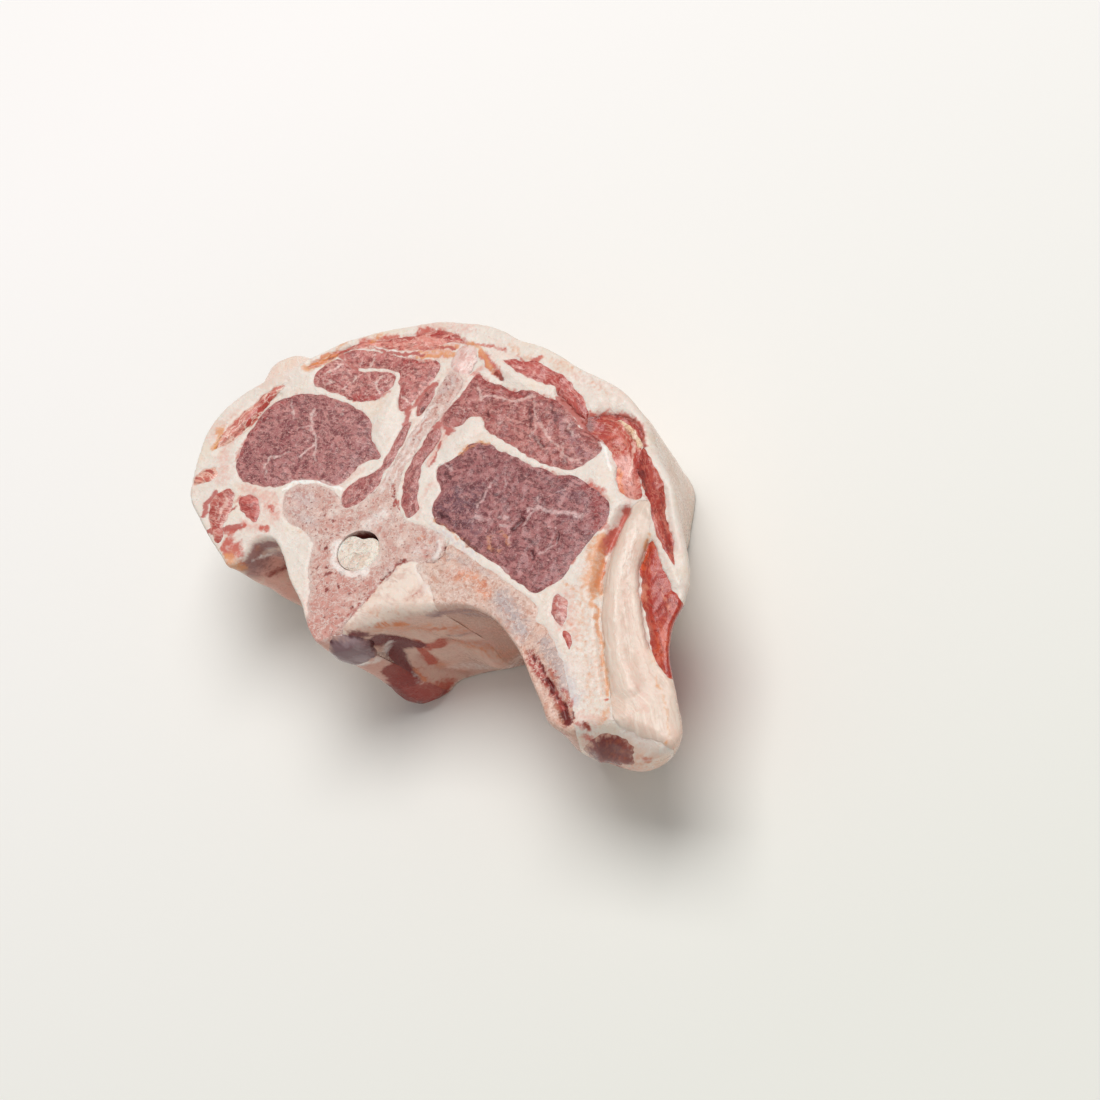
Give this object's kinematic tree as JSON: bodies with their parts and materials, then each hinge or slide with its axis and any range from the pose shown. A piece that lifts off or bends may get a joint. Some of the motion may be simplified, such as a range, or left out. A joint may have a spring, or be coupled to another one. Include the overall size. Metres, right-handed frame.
{
  "type": "raw lamb chop",
  "caption": "Raw double rib chop of lamb lying on its cut face, with a loin muscle on each side of the vertebra, back fat, a rib and its flank.",
  "frame": {"origin": "middle of the box around the chop, at the height of the surface it lies on", "axes": "+X along the chop's width towards the flank with the rib, +Y towards the back fat, +Z out of the shown cut face"},
  "size_m": [0.1746, 0.1006, 0.041],
  "materials": {
    "fat": "moist satin back fat",
    "seam_fat": "soft yellowish fat",
    "loin_meat": "moist raw muscle, fine grained",
    "blade_meat": "moist raw muscle",
    "strip_meat": "glossy red muscle",
    "flank_meat": "glossy dark red muscle",
    "bone": "sawn spongy bone",
    "rib_bone": "sawn rib with marrow",
    "gristle": "pale translucent cartilage",
    "cord": "white moist nerve cord",
    "disc": "glossy blue grey disc"
  },
  "bodies": {
    "root": {"fat": "fat", "arch_fat": "fat", "fascia_fold": "fat", "seam_fat": "seam_fat", "loin_eye_left": "loin_meat", "loin_eye_right": "loin_meat", "flank_meat": "loin_meat", "blade_lower_left": "blade_meat", "blade_upper_left": "blade_meat", "blade_right": "blade_meat", "spine_strip_left": "blade_meat", "spine_strip_right": "blade_meat", "spine_strip_upper": "blade_meat", "back_strip_left": "strip_meat", "back_strip_right": "strip_meat", "side_strip_left": "strip_meat", "side_strip_right": "strip_meat", "flank_outer_left": "strip_meat", "flank_main_left": "strip_meat", "flank_small_left": "strip_meat", "rib_meat_upper": "strip_meat", "rib_meat_lower": "strip_meat", "flank_inner_right": "flank_meat", "flank_lower_right": "flank_meat", "vertebra": "bone", "rib_neck": "rib_bone", "rib_right": "rib_bone", "spine_tip": "gristle", "spinal_cord": "cord", "disc": "disc"}
  },
  "joints": []
}
